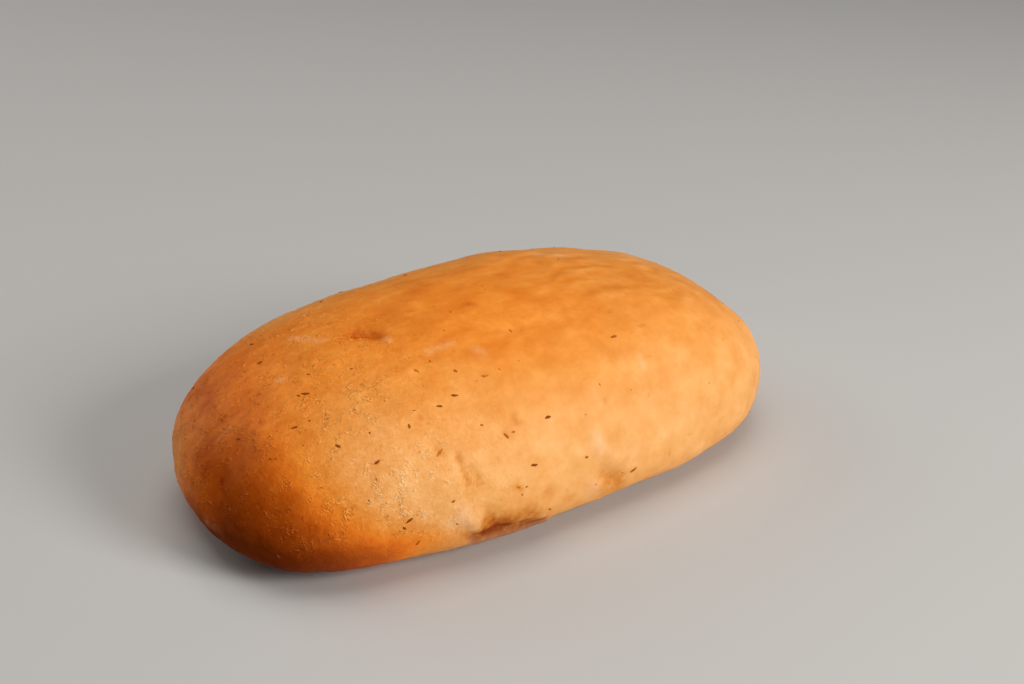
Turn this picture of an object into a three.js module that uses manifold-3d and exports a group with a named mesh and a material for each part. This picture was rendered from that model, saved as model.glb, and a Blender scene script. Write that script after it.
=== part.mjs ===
// Herb ciabatta roll: one uncut oval bread roll, with flecks of dried herb baked into its crust.
// Millimetres. +X runs along the roll to its rounder end, -Y is its front side and +Z is up.
// The origin is at the middle of the foot, the flat face that the roll rests on.
import * as THREE from 'three';
import { mergeVertices } from 'three/addons/utils/BufferGeometryUtils.js';
import Module from 'manifold-3d';

const wasm = await Module();
wasm.setup();

// Driving dimensions of the plain body.
const LENGTH = 160;
const WIDTH = 91.3;
const HEIGHT = 47.3;
const SHOULDER = 13.6; // height of the widest line
const FOOT_SINK = 2; // how far the body would bulge below its foot if it were whole
const OUTLINE_POWER = 2.83; // 2 is an ellipse seen from above, more is boxier
const CROWN_POWER = 2.2; // the same, for the section above the shoulder
const FLANK_POWER = 3.16; // and below it
const TAPER = 0.016; // share by which the far end is wider than the middle
const BOW = -2.8; // sideways bend of the middle line
const BOW_STILL = 0.3; // squared share of the half length at which the bend moves nothing
const RISE = 0.022; // share by which the far end is higher than the middle
const THREE_LOBES = [0.0055, 0.006]; // cosine and sine share of a three-cornered outline
const SKEW = 0.02; // share of a slanted outline

// Rows of faces along, across and up the body.
const ROWS = [44, 26, 20];

// Slow unevenness of the dough: waves in many directions, each shorter and lower than the last.
const LUMPS = { waves: 9, longest: 42, shortest: 12, rise: 0.14 };
const GOLDEN_ANGLE = Math.PI * (3 - Math.sqrt(5));
const PHASE_STEP = 2.1;

// Shallow lengthwise wrinkles on the far half of the crown.
const WRINKLES = {
  along: 0.43, alongReach: 0.24, around: 4, aroundReach: 26,
  spacing: 6.4, rise: 0.24, sway: 1.2, swayLength: 37, slant: 0.2,
};

// Places on the crust are addresses. The first number runs along the roll, -1 at its blunt end and
// +1 at its round end. The second is the angle about its length in degrees, 0 on the ridge of the
// crown and growing towards the front; about 124 is the front edge of the foot.

// Hollows (rise below 0) and swellings, each along a line between two addresses.
const SWELLS = [
  // The tuck in the front of the foot, where the dough was folded: a lump, the hollow beside it,
  // the groove under both, the lip under the groove and the bulge over it all.
  { from: [-0.385, 87], to: [-0.362, 94], width: 2.4, rise: 0.65 },
  { from: [-0.368, 93], to: [-0.342, 105], width: 1.3, rise: 0.4 },
  { from: [-0.348, 92], to: [-0.318, 103], width: 1.1, rise: 0.35 },
  { from: [-0.32, 95], to: [-0.285, 105], width: 2.2, rise: -0.4 },
  { from: [-0.29, 105], to: [-0.18, 109], width: 3, rise: -0.3 },
  { from: [-0.355, 109], to: [-0.26, 111.5], width: 2, rise: -0.35 },
  { from: [-0.26, 111.5], to: [-0.13, 120], width: 1.7, rise: -0.5 },
  { from: [-0.31, 119], to: [-0.10, 125], width: 1.6, rise: 0.6 },
  { from: [-0.27, 92], to: [-0.17, 97], width: 5, rise: 0.45 },
  // A smaller tuck further along.
  { from: [0.035, 97], to: [0.045, 101], width: 1.8, rise: 0.5 },
  { from: [0.062, 94], to: [0.13, 102], width: 2.2, rise: -0.5 },
  { from: [0.085, 107], to: [0.13, 110], width: 2.6, rise: -0.1 },
  // The valley down the blunt end.
  { from: [-0.86, 31], to: [-0.955, 60], width: 4, rise: -0.55 },
  // The pock on the crown, with its raised rim, and a low crest beside it.
  { from: [-0.445, 4], to: [-0.405, 9], width: 2.1, rise: -0.7 },
  { from: [-0.39, 13], to: [-0.385, 15], width: 0.8, rise: 0.25 },
  { from: [-0.57, -13], to: [-0.53, -1], width: 1.2, rise: 0.25 },
  // Two faint ridges down the far half of the front.
  { from: [0.06, 75], to: [0.11, 87], width: 1.8, rise: 0.22 },
  { from: [0.04, 72], to: [0.057, 80], width: 1.8, rise: 0.2 },
  // Flats and swellings of the outline.
  { from: [-0.44, 116], to: [-0.40, 116], width: 5, rise: -0.5 },
  { from: [-0.03, 122], to: [0.06, 122], width: 6, rise: 0.35 },
  { from: [0.12, 124], to: [0.19, 124], width: 7, rise: -0.3 },
  { from: [0.20, -26], to: [0.34, -22], width: 12, rise: 0.35 },
  { from: [-0.69, 130], to: [-0.63, 124], width: 9, rise: 0.35 },
  { from: [-0.92, 118], to: [-0.84, 116], width: 6, rise: -0.5 },
  { from: [-0.95, -118], to: [-0.88, -112], width: 9, rise: -0.45 },
  { from: [0.40, -32], to: [0.54, -28], width: 12, rise: -0.45 },
];

// Creases cut into the crust, each a spindle sunk along the line between two addresses.
const CREASES = [
  { from: [-0.373, 63.5], to: [-0.366, 75], width: 1, depth: 0.4 },
  { from: [-0.352, 69], to: [-0.335, 76], width: 0.9, depth: 0.35 },
  { from: [-0.932, 42], to: [-0.93, 53], width: 1.1, depth: 0.45 },
  { from: [-0.34, 109.5], to: [-0.19, 115], width: 1.3, depth: 0.45 },
];

// Herb flecks: their thickness is half sunk in the crust.
const FLECK_THICKNESS = 0.66;
// Each is an address, a length, a width, and a turn in degrees from the roll's length towards the
// front.
const FRONT_FLECKS = [
  [-0.65, 21.5, 2.1, 0.6, 40], [-0.317, 44, 1.8, 0.55, 17], [-0.625, 48, 1.4, 0.6, 48],
  [-0.173, 76, 1.9, 0.6, 10], [-0.366, 46, 1.5, 0.5, 26], [-0.093, 61, 1.7, 0.65, 6],
  [-0.685, -12, 1.2, 0.5, 16], [-0.556, 58, 1.5, 0.65, -15], [-0.706, 34, 1.6, 0.5, 18],
  [-0.517, 84, 2, 0.6, -26], [-0.53, 87, 1.1, 0.6, 54], [-0.85, 22, 1.2, 0.6, 55],
  [-0.281, 36, 1.1, 0.6, 58], [-0.231, 62.5, 1.6, 0.6, 61], [0.228, 41, 1.9, 0.6, 7],
  [-0.457, 49.5, 1.2, 0.6, -82], [-0.62, 13, 1, 0.5, 49], [0.008, 80.5, 1, 0.6, 26],
  [0.184, 99, 2, 0.7, -20], [-0.214, 41, 1.9, 0.6, 11], [-0.058, 27.5, 1.2, 0.5, 84],
  [-0.374, 31.5, 1.4, 0.55, 54], [-0.41, 61, 2.6, 0.55, -36], [-0.228, 82.5, 1.3, 0.6, 45],
  [-0.208, 62, 1, 0.5, 13],
];
// The rest are drawn at random on the back, which the list leaves bare.
const SPREAD_COUNT = 24;
const SPREAD_ALONG = [-0.95, 0.95];
const SPREAD_AROUND = [-115, -22];
const SPREAD_LENGTH = [1.1, 2.0];
const SPREAD_WIDTH = 0.6;
const SPREAD_GAP = 0.12; // least distance between the headings of two flecks
const SPREAD_SEED = 2741;

function heading([along, around]) {
  const turn = THREE.MathUtils.degToRad(around);
  const across = Math.sqrt(1 - along * along);
  return new THREE.Vector3(along, -across * Math.sin(turn), across * Math.cos(turn));
}

// The point of the plain body that lies in a heading from its middle.
function bodyPoint({ x, y, z }) {
  const outline = (Math.abs(x) ** OUTLINE_POWER + Math.abs(y) ** OUTLINE_POWER) ** (1 / OUTLINE_POWER);
  const power = z >= 0 ? CROWN_POWER : FLANK_POWER;
  const reach = (outline ** power + Math.abs(z) ** power) ** (-1 / power);
  const turn = Math.atan2(y, x);
  const lobes = THREE_LOBES[0] * Math.cos(3 * turn) + THREE_LOBES[1] * Math.sin(3 * turn);
  const swell = 1 + (lobes + SKEW * Math.sin(2 * turn)) * (outline * reach) ** 2;
  const share = x * reach * swell;
  const across = (WIDTH / 2) * y * reach * swell;
  const drop = z >= 0 ? (HEIGHT - SHOULDER) * (1 + RISE * share) : SHOULDER + FOOT_SINK;
  return new THREE.Vector3(
    (LENGTH / 2) * share,
    across * (1 + TAPER * share) + BOW * (share * share - BOW_STILL),
    SHOULDER + drop * z * reach,
  );
}

// The plain body's outward normal there, from the slopes along two tangents of the heading.
function bodyNormal(direction) {
  const step = 1e-3;
  const side = new THREE.Vector3(-direction.y, direction.x, 0);
  if (side.length() < step) side.set(1, 0, 0);
  side.normalize();
  const slope = new THREE.Vector3().crossVectors(direction, side);
  const difference = (tangent) => {
    const ahead = direction.clone().addScaledVector(tangent, step).normalize();
    const behind = direction.clone().addScaledVector(tangent, -step).normalize();
    return bodyPoint(ahead).sub(bodyPoint(behind));
  };
  return difference(side).cross(difference(slope)).normalize();
}

function lumps(point) {
  let rise = 0;
  for (let wave = 0; wave < LUMPS.waves; wave += 1) {
    const length = LUMPS.longest * (LUMPS.shortest / LUMPS.longest) ** (wave / (LUMPS.waves - 1));
    const climb = 1 - (2 * wave + 1) / LUMPS.waves;
    const flat = Math.sqrt(1 - climb * climb);
    const turn = wave * GOLDEN_ANGLE;
    const direction = new THREE.Vector3(flat * Math.cos(turn), flat * Math.sin(turn), climb);
    const phase = (2 * Math.PI * direction.dot(point)) / length + wave * PHASE_STEP;
    rise += LUMPS.rise * (length / LUMPS.longest) * Math.sin(phase);
  }
  return rise;
}

function wrinkles(direction, point) {
  const around = THREE.MathUtils.radToDeg(Math.atan2(-direction.y, direction.z));
  const alongFade = (direction.x - WRINKLES.along) / WRINKLES.alongReach;
  const aroundFade = (around - WRINKLES.around) / WRINKLES.aroundReach;
  const sway = WRINKLES.sway * Math.sin((2 * Math.PI * point.x) / WRINKLES.swayLength);
  const side = point.y - WRINKLES.slant * point.x;
  const wave = Math.sin((2 * Math.PI * side) / WRINKLES.spacing + sway);
  return WRINKLES.rise * wave * Math.exp(-(alongFade ** 2) - aroundFade ** 2);
}

const swells = SWELLS.map(({ from, to, width, rise }) => ({
  line: new THREE.Line3(bodyPoint(heading(from)), bodyPoint(heading(to))), width, rise,
}));

function swelling(point) {
  const nearest = new THREE.Vector3();
  return swells.reduce((sum, { line, width, rise }) => {
    line.closestPointToPoint(point, true, nearest);
    return sum + rise * Math.exp(-((point.distanceTo(nearest) / width) ** 2));
  }, 0);
}

// The crust: the plain body, raised along its normal by its relief.
function crust(direction) {
  const point = bodyPoint(direction);
  const relief = lumps(point) + wrinkles(direction, point) + swelling(point);
  return point.addScaledVector(bodyNormal(direction), relief);
}

function asSolid(geometry) {
  const bare = geometry.clone();
  bare.deleteAttribute('normal');
  bare.deleteAttribute('uv');
  const merged = mergeVertices(bare);
  return new wasm.Manifold(new wasm.Mesh({
    numProp: 3,
    vertProperties: merged.attributes.position.array,
    triVerts: new Uint32Array(merged.index.array),
  }));
}

function asGeometry(solid) {
  const mesh = solid.getMesh();
  const geometry = new THREE.BufferGeometry();
  geometry.setAttribute('position', new THREE.BufferAttribute(mesh.vertProperties, 3));
  geometry.setIndex(new THREE.BufferAttribute(mesh.triVerts, 1));
  geometry.computeVertexNormals();
  return geometry;
}

// A box of square faces whose points are moved out to the crust, evenly spread over it.
function crustGeometry() {
  const geometry = new THREE.BoxGeometry(2, 2, 2, ...ROWS);
  const position = geometry.attributes.position;
  const direction = new THREE.Vector3();
  const evenly = (value) => Math.tan((value * Math.PI) / 4);
  for (let i = 0; i < position.count; i += 1) {
    direction.fromBufferAttribute(position, i);
    direction.set(evenly(direction.x), evenly(direction.y), evenly(direction.z)).normalize();
    position.setXYZ(i, ...crust(direction));
  }
  return geometry;
}

// The space below the foot, which is cut away.
function underFoot() {
  const depth = 5 * FOOT_SINK;
  return new THREE.BoxGeometry(2 * LENGTH, 2 * WIDTH, depth).translate(0, 0, -depth / 2);
}

// A ball centred on the crust at an address and stretched: size holds its half length along the
// run, its half width and its half height along the normal.
function crustBit(ball, place, run, size) {
  const direction = heading(place);
  const up = bodyNormal(direction);
  const lengthwise = run.clone().projectOnPlane(up).normalize();
  const sideways = new THREE.Vector3().crossVectors(up, lengthwise);
  const matrix = new THREE.Matrix4().makeBasis(lengthwise, sideways, up);
  matrix.setPosition(crust(direction)).scale(size);
  return ball.applyMatrix4(matrix);
}

function fleckGeometry([along, around, length, width, turn]) {
  const up = bodyNormal(heading([along, around]));
  const run = new THREE.Vector3(1, 0, 0).projectOnPlane(up);
  run.applyAxisAngle(up, -THREE.MathUtils.degToRad(turn));
  const size = new THREE.Vector3(length / 2, width / 2, FLECK_THICKNESS / 2);
  return crustBit(new THREE.IcosahedronGeometry(1), [along, around], run, size);
}

function creaseGeometry({ from, to, width, depth }) {
  const run = crust(heading(to)).sub(crust(heading(from)));
  const middle = from.map((value, axis) => (value + to[axis]) / 2);
  const size = new THREE.Vector3(run.length() / 2, width / 2, depth);
  return crustBit(new THREE.IcosahedronGeometry(1, 1), middle, run, size);
}

function randomDraw(seed) {
  let state = seed;
  return (low, high) => {
    state = (state * 48271) % 2147483647;
    return low + (high - low) * (state / 2147483647);
  };
}

function spreadFlecks() {
  const draw = randomDraw(SPREAD_SEED);
  const taken = FRONT_FLECKS.map((fleck) => heading(fleck));
  const flecks = [];
  while (flecks.length < SPREAD_COUNT) {
    const place = [draw(...SPREAD_ALONG), draw(...SPREAD_AROUND)];
    const fleck = [...place, draw(...SPREAD_LENGTH), SPREAD_WIDTH, draw(-90, 90)];
    const direction = heading(place);
    if (taken.every((other) => other.distanceTo(direction) > SPREAD_GAP)) {
      taken.push(direction);
      flecks.push(fleck);
    }
  }
  return flecks;
}

function rollGeometry() {
  const flecks = [...FRONT_FLECKS, ...spreadFlecks()];
  let roll = asSolid(crustGeometry());
  for (const crease of CREASES) roll = roll.subtract(asSolid(creaseGeometry(crease)));
  for (const fleck of flecks) roll = roll.add(asSolid(fleckGeometry(fleck)));
  return asGeometry(roll.subtract(asSolid(underFoot())));
}

const roll = new THREE.Mesh(
  rollGeometry(),
  new THREE.MeshStandardMaterial({ color: 0xdf9a52, roughness: 0.6, metalness: 0 }),
);
roll.name = 'roll';

const middle = new THREE.Vector3();
roll.geometry.computeBoundingBox();
roll.geometry.boundingBox.getCenter(middle);
roll.position.set(-middle.x, -middle.y, 0);

const group = new THREE.Group();
group.add(roll);

export default group;
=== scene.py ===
"""Herb ciabatta roll: the baked crust, its creases and stains, the flecks of herb in it and the soft
studio that shows it. Metres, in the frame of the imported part: +X along the roll, +Z up, foot at zero.
"""
import itertools
import math

import bpy
from mathutils import Matrix, Vector


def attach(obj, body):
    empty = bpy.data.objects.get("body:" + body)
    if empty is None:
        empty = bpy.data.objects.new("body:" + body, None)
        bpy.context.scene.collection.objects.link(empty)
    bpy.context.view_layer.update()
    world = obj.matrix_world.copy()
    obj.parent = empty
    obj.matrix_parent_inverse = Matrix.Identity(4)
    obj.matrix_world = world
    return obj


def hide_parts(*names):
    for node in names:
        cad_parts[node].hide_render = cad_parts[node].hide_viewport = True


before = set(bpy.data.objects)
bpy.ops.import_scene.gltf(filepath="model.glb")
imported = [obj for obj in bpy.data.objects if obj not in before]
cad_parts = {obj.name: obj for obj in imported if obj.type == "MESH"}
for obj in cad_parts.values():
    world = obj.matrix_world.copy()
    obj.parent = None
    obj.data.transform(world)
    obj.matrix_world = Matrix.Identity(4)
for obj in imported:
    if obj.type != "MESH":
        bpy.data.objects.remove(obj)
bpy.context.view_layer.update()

MM = 0.001

# ---------------------------------------------------------------------------------------------
# The roll's sizes, in metres, and the plain numbers that shape its body.
# ---------------------------------------------------------------------------------------------

SIZES = {
    "Length": 160 * MM,
    "Width": 91.3 * MM,
    "Height": 47.3 * MM,
    "Shoulder Height": 13.6 * MM,
    "Foot Sink": 2 * MM,
    "Outline Power": 2.83,
    "Crown Power": 2.2,
    "Flank Power": 3.16,
    "Taper": 0.016,
    "Bow": -2.8 * MM,
    "Bow Still": 0.3,
    "Rise": 0.022,
    "Lobes Cosine": 0.0055,
    "Lobes Sine": 0.006,
    "Skew": 0.02,
}
# Rows of faces along, across and up the crust.
ROWS = (190, 113, 86)

# Slow unevenness of the dough: waves in many directions, each shorter and lower than the last.
LUMP_WAVES = 9
LUMP_LONGEST = 42 * MM
LUMP_SHORTEST = 12 * MM
LUMP_RISE = 0.14 * MM
GOLDEN_ANGLE = math.pi * (3 - math.sqrt(5))
PHASE_STEP = 2.1

# Shallow lengthwise wrinkles on the far half of the crown: the address of their middle and how far
# they reach from it, their spacing and rise, how they sway and wander, and the size of their breaks.
WRINKLES = {
    "along": 0.43, "along reach": 0.24, "around": 4, "around reach": 26,
    "spacing": 6.4 * MM, "rise": 0.24 * MM, "slant": 0.2, "sway": 1.2, "sway length": 37 * MM,
    "wander": 2.2, "wander length": 13 * MM, "break length": 7 * MM,
}

# Skin of the crust: the size of its patches and how far they rise and fall. It lies a little under
# the plain body, so that its highest spots stay within the part's sizes.
SKIN = (
    (11 * MM, 0.12 * MM),
    (4.2 * MM, 0.07 * MM),
    (1.9 * MM, 0.05 * MM),
)
SKIN_SINK = 0.24 * MM
# The pits of the foot.
PIT_SIZE = 3 * MM
PIT_DEPTH = 0.12 * MM

# Places on the crust are addresses. The first number runs along the roll, -1 at its blunt end and
# +1 at its round end. The second is the angle about its length in degrees, 0 on the ridge of the
# crown and growing towards the front; about 124 is the front edge of the foot.
#
# A mark is a soft line between two addresses: its width and rise in millimetres, and how much
# browner and how much paler than the rest it is coloured. Its edges stray a little, as torn dough does.
MARK_STRAY = 0.35 * MM
MARK_STRAY_SIZE = 3 * MM
MARKS = (
    # from, to, width, rise, brown, pale
    # The tuck in the front of the foot, where the dough was folded: a pale lump and two folds
    # beside it, then a brown hollow, the groove under them all, the lip under the groove and the
    # bulge over it. The brown of the hollow and the groove is partly painted shade under the fold,
    # and the lip takes the low dough colour, which is painted shade.
    ((-0.385, 87), (-0.362, 94), 2.4, 0.65, 0.0, 0.7),
    ((-0.368, 93), (-0.342, 105), 1.3, 0.4, 0.1, 0.45),
    ((-0.348, 92), (-0.318, 103), 1.1, 0.35, 0.1, 0.35),
    ((-0.32, 95), (-0.285, 105), 2.2, -0.4, 0.35, 0.0),
    ((-0.29, 105), (-0.18, 109), 3.0, -0.3, 0.6, 0.0),
    ((-0.355, 109), (-0.26, 111.5), 2.0, -0.35, 0.4, 0.0),
    ((-0.26, 111.5), (-0.13, 120), 1.7, -0.5, 0.5, 0.0),
    ((-0.31, 119), (-0.10, 125), 1.6, 0.6, 0.12, 0.9),
    ((-0.27, 92), (-0.17, 97), 5.0, 0.45, 0.1, 0.0),
    # A smaller tuck further along.
    ((0.035, 97), (0.045, 101), 1.8, 0.5, 0.0, 0.5),
    ((0.062, 94), (0.13, 102), 2.2, -0.5, 0.28, 0.0),
    ((0.085, 107), (0.13, 110), 2.6, -0.1, 0.28, 0.0),
    # The valley down the blunt end.
    ((-0.86, 31), (-0.955, 60), 4.0, -0.55, 0.1, 0.0),
    # The pock on the crown, with a spot of its raised rim and a low crest beside it.
    ((-0.445, 4), (-0.405, 9), 2.1, -0.7, 0.85, 0.0),
    ((-0.39, 13), (-0.385, 15), 0.8, 0.25, 0.0, 0.35),
    ((-0.57, -13), (-0.53, -1), 1.2, 0.25, 0.0, 0.2),
    # Two faint ridges down the far half of the front.
    ((0.06, 75), (0.11, 87), 1.8, 0.22, -0.05, 0.25),
    ((0.04, 72), (0.057, 80), 1.8, 0.2, -0.05, 0.25),
    # Flats and swellings of the outline.
    ((-0.44, 116), (-0.40, 116), 5.0, -0.5, 0.0, 0.0),
    ((-0.03, 122), (0.06, 122), 6.0, 0.35, 0.0, 0.0),
    ((0.12, 124), (0.19, 124), 7.0, -0.3, 0.0, 0.0),
    ((0.20, -26), (0.34, -22), 12.0, 0.35, 0.0, 0.0),
    ((-0.69, 130), (-0.63, 124), 9.0, 0.35, 0.0, 0.0),
    ((-0.92, 118), (-0.84, 116), 6.0, -0.5, 0.0, 0.0),
    ((-0.95, -118), (-0.88, -112), 9.0, -0.45, 0.0, 0.0),
    ((0.40, -32), (0.54, -28), 12.0, -0.45, 0.0, 0.0),
    # Creases: two on the front, one down the blunt end and one in the tuck.
    ((-0.373, 63.5), (-0.366, 75), 0.75, -0.4, 0.5, 0.0),
    ((-0.352, 69), (-0.335, 76), 0.7, -0.35, 0.3, 0.0),
    ((-0.932, 42), (-0.93, 53), 0.9, -0.45, 0.3, 0.0),
    ((-0.34, 109.5), (-0.19, 115), 0.8, -0.35, 0.25, 0.0),
    # Brighter patches of the crown; the first, beside the pock, is a painted highlight.
    ((-0.52, 10), (-0.45, 17), 6.0, 0.0, -0.18, 0.0),
    ((-0.66, 17), (-0.50, 30), 8.0, 0.0, -0.12, 0.0),
    ((-0.18, 21), (0.15, 26), 6.0, 0.0, -0.12, 0.0),
    # Stains in the tuck, the pale skin left of its lump, and along its lip the low dough colour, which
    # is painted shade.
    ((-0.325, 101), (-0.305, 109), 1.4, 0.0, 0.45, 0.0),
    ((-0.325, 110), (-0.25, 112), 1.2, 0.0, 0.45, 0.0),
    ((-0.41, 90.5), (-0.39, 88.5), 1.8, 0.0, 0.0, 0.5),
    ((-0.33, 113), (-0.13, 121), 1.5, 0.0, 0.1, 1.5),
    # Small scars, scuffs and stains.
    ((-0.975, 124), (-0.945, 112), 1.2, 0.3, 0.0, 0.1),
    ((-0.19, 31), (-0.185, 33), 1.2, 0.12, 0.0, 0.35),
    ((-0.69, 7), (-0.68, 8), 0.6, 0.15, 0.0, 0.4),
    ((-0.902, 9.8), (-0.862, 10.4), 0.4, 0.05, 0.0, 0.2),
    ((-0.311, 26), (-0.248, 25.6), 1.0, 0.14, 0.0, 0.3),
    ((0.274, 51), (0.277, 54.4), 0.9, 0.08, 0.0, 0.35),
    ((0.311, -12.2), (0.364, -8.8), 2.0, 0.0, 0.0, 0.3),
    ((-0.105, 9.5), (-0.085, 12), 0.7, -0.05, 0.3, 0.0),
    ((-0.14, 88.5), (-0.13, 89.5), 1.4, -0.05, 0.15, 0.0),
    ((-0.235, 82), (-0.22, 84), 0.8, -0.08, 0.3, 0.0),
    ((-0.19, 57), (-0.187, 59), 0.9, -0.05, 0.35, 0.0),
    ((-0.232, 62), (-0.225, 63), 0.9, -0.08, 0.25, 0.0),
    ((-0.415, 59), (-0.405, 62), 0.5, -0.1, 0.25, 0.0),
    ((-0.07, 101), (-0.045, 104), 1.2, -0.05, 0.2, 0.0),
    ((-0.125, 105), (-0.12, 106.5), 0.5, -0.05, 0.3, 0.0),
)

# Herb flecks on the front: an address, a length and a width in millimetres, and a turn in degrees
# from the roll's length towards the front.
FRONT_FLECKS = {
    "dark": (
        (-0.65, 21.5, 2.1, 0.6, 40), (-0.317, 44, 1.8, 0.55, 17), (-0.625, 48, 1.4, 0.6, 48),
        (-0.173, 76, 1.9, 0.6, 10), (-0.366, 46, 1.5, 0.5, 26), (-0.093, 61, 1.7, 0.65, 6),
        (-0.685, -12, 1.2, 0.5, 16), (-0.556, 58, 1.5, 0.65, -15), (-0.706, 34, 1.6, 0.5, 18),
        (-0.517, 84, 2.0, 0.6, -26), (-0.53, 87, 1.1, 0.6, 54), (-0.85, 22, 1.2, 0.6, 55),
    ),
    "brown": (
        (-0.281, 36, 1.1, 0.6, 58), (-0.231, 62.5, 1.6, 0.6, 61), (0.228, 41, 1.9, 0.6, 7),
        (-0.457, 49.5, 1.2, 0.6, -82), (-0.62, 13, 1.0, 0.5, 49), (0.008, 80.5, 1.0, 0.6, 26),
        (0.184, 99, 2.0, 0.7, -20),
    ),
    "tan": (
        (-0.214, 41, 1.9, 0.6, 11), (-0.058, 27.5, 1.2, 0.5, 84), (-0.374, 31.5, 1.4, 0.55, 54),
        (-0.41, 61, 2.6, 0.55, -36), (-0.228, 82.5, 1.3, 0.6, 45), (-0.208, 62, 1.0, 0.5, 13),
    ),
}
TONES = {"dark": 0.0, "brown": 0.5, "tan": 0.95}
# Specks of herb, too small for the part's solids.
SPECK_TONE = 0.35
SPECKS = (
    (-0.668, 20.6, 0.8, 0.4, 58), (-0.862, -0.4, 1.1, 0.4, -59), (-0.517, 20.2, 0.7, 0.4, 10),
    (-0.284, 56.4, 0.9, 0.4, 15), (-0.327, 29.7, 0.6, 0.4, -62), (-0.666, 34.1, 0.7, 0.5, -24),
    (-0.49, 102, 1.2, 0.4, -44), (-0.41, 80, 0.9, 0.4, -20), (-0.547, 47.3, 0.6, 0.4, 90),
    (-0.596, 71.3, 0.5, 0.4, 68), (-0.221, 85.8, 0.5, 0.4, 80), (-0.121, 105.7, 0.8, 0.4, 16),
)
# The rest are drawn at random on the back, which the lists leave bare.
SPREAD_COUNT = 24
SPREAD_ALONG = (-0.95, 0.95)
SPREAD_AROUND = (-115, -22)
SPREAD_LENGTH = (1.1, 2.0)
SPREAD_WIDTH = 0.6
SPREAD_TONES = (0.0, 0.3, 0.6)
SPREAD_GAP = 0.12  # least distance between the headings of two flecks
SPREAD_SEED = 2741

# The heights at which the crumbs of herb on the crust begin and are in full number.
CRUMB_HEIGHTS = (1 * MM, 2 * MM)
# A seed for each thing that is drawn at random about a crumb and about a flake of skin.
CRUMB_SEEDS = {"place": 7, "tone": 3, "turn": 4, "length": 5, "width": 6}
BLISTER_SEEDS = {"place": 11, "size": 5, "length": 12, "width": 6, "height": 8, "turn": 9}

# A zone of the crust, by the three numbers of its headings: blunt grows towards the blunt end, side
# towards the back, and up. Each pair is where the zone starts and where it has its full strength.
CRINKLED_ZONE = {"blunt": (0.20, 0.65), "up": (-0.35, 0.0)}
GRAINY_ZONE = {"blunt": (0.0, 0.60)}
BROWN_TIP = {"blunt": (0.62, 0.85)}
# Painted shade: the lower blunt end, darkened as if turned from the light.
LOW_END_SHADE = {"blunt": (0.55, 0.84), "up": (0.66, 0.20), "side": (0.35, -0.15)}
LOW_END_SHADE_TIP = {"blunt": (0.90, 1.0)}
# Painted shade: a dark band along the bottom of the blunt half, where the roll meets the floor.
LOW_RIM_SHADE = {"blunt": (0.25, 0.60), "up": (0.20, -0.28)}
LOW_RIM_SHADE_FRONT = {"side": (0.3, -0.4)}
# Painted shade: the back edge of the blunt half, made darker.
BACK_END_SHADE = {"blunt": (0.45, 0.70), "side": (0.0, 0.35), "up": (0.0, 0.45)}
# Painted sheen: the back of the blunt tip, made paler and less browned.
TIP_BACK_SHEEN = {"blunt": (0.76, 0.96), "side": (-0.05, 0.30), "up": (0.6, 0.3)}

# ---------------------------------------------------------------------------------------------
# Node trees written as plain expressions.
# ---------------------------------------------------------------------------------------------


class Value:
    """A number in a node tree, which adds and multiplies as a plain number does."""

    def __init__(self, net, socket):
        self.net = net
        self.socket = socket

    def __add__(self, other):
        return self.net.math("ADD", self, other)

    def __sub__(self, other):
        return self.net.math("SUBTRACT", self, other)

    def __rsub__(self, other):
        return self.net.math("SUBTRACT", other, self)

    def __mul__(self, other):
        return self.net.math("MULTIPLY", self, other)

    def __truediv__(self, other):
        return self.net.math("DIVIDE", self, other)

    def __rtruediv__(self, other):
        return self.net.math("DIVIDE", other, self)

    def __pow__(self, other):
        return self.net.math("POWER", self, other)

    def __neg__(self):
        return self * -1

    def __abs__(self):
        return self.net.math("ABSOLUTE", self)

    __radd__ = __add__
    __rmul__ = __mul__


class Arrow:
    """A vector in a node tree."""

    def __init__(self, net, socket):
        self.net = net
        self.socket = socket

    def __add__(self, other):
        return self.net.vector("ADD", self, other)

    def __sub__(self, other):
        return self.net.vector("SUBTRACT", self, other)

    def __mul__(self, other):
        return self.net.vector("SCALE", self, Scale=other)

    def stretched(self, factors):
        return self.net.vector("MULTIPLY", self, factors)

    def dot(self, other):
        return self.net.vector("DOT_PRODUCT", self, other)

    def distance(self, other):
        return self.net.vector("DISTANCE", self, other)

    def unit(self):
        return self.net.vector("NORMALIZE", self)

    def parts(self):
        made = self.net.node("ShaderNodeSeparateXYZ", {0: self})
        return [Value(self.net, socket) for socket in made.outputs]


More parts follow.
